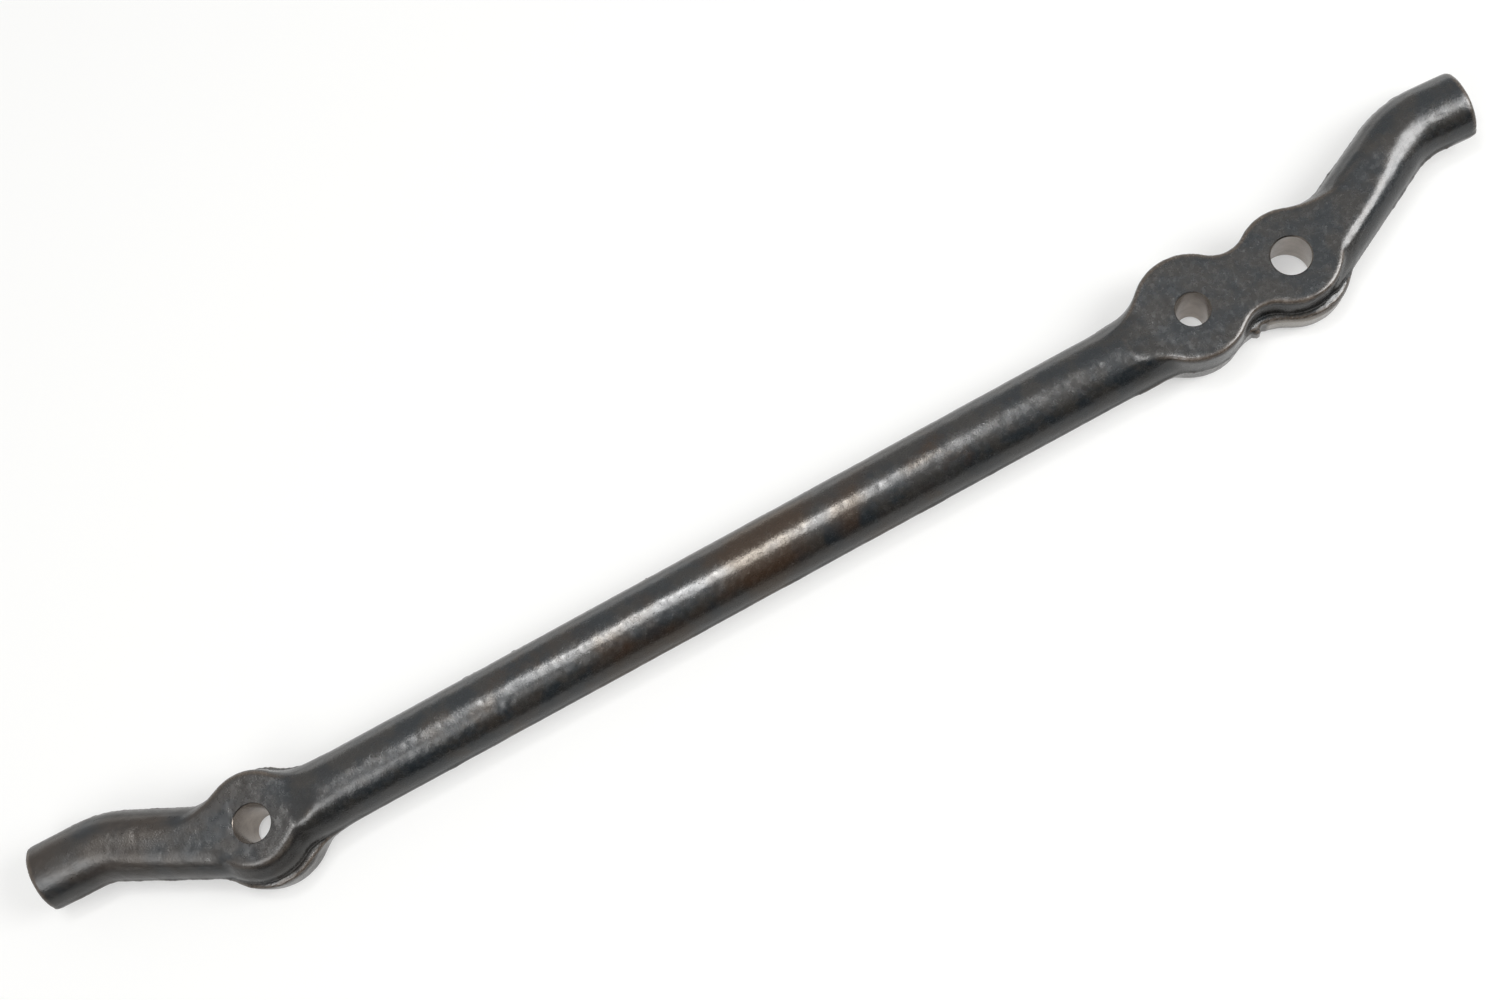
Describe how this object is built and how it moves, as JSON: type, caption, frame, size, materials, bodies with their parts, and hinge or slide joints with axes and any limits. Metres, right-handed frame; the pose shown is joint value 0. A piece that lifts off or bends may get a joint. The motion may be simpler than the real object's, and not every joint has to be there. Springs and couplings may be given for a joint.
{
  "type": "steering center link",
  "caption": "Forged steering center link: round bar with tapered stud holes in flat bosses and a bent round arm with a threaded socket beyond each end.",
  "frame": {"origin": "on the axis of the single stud hole, in the parting plane of the forging, halfway between the two boss faces", "axes": "+X along the bar toward the pair of stud holes, +Z along the stud axes out of the faces seen in the picture, +Y toward the side both arms are set off to"},
  "size_m": [0.8355, 0.0849, 0.038],
  "materials": {
    "forged_steel": "dark oiled forging scale, bare machined holes"
  },
  "bodies": {
    "root": {"center_link": "forged_steel"}
  },
  "joints": []
}
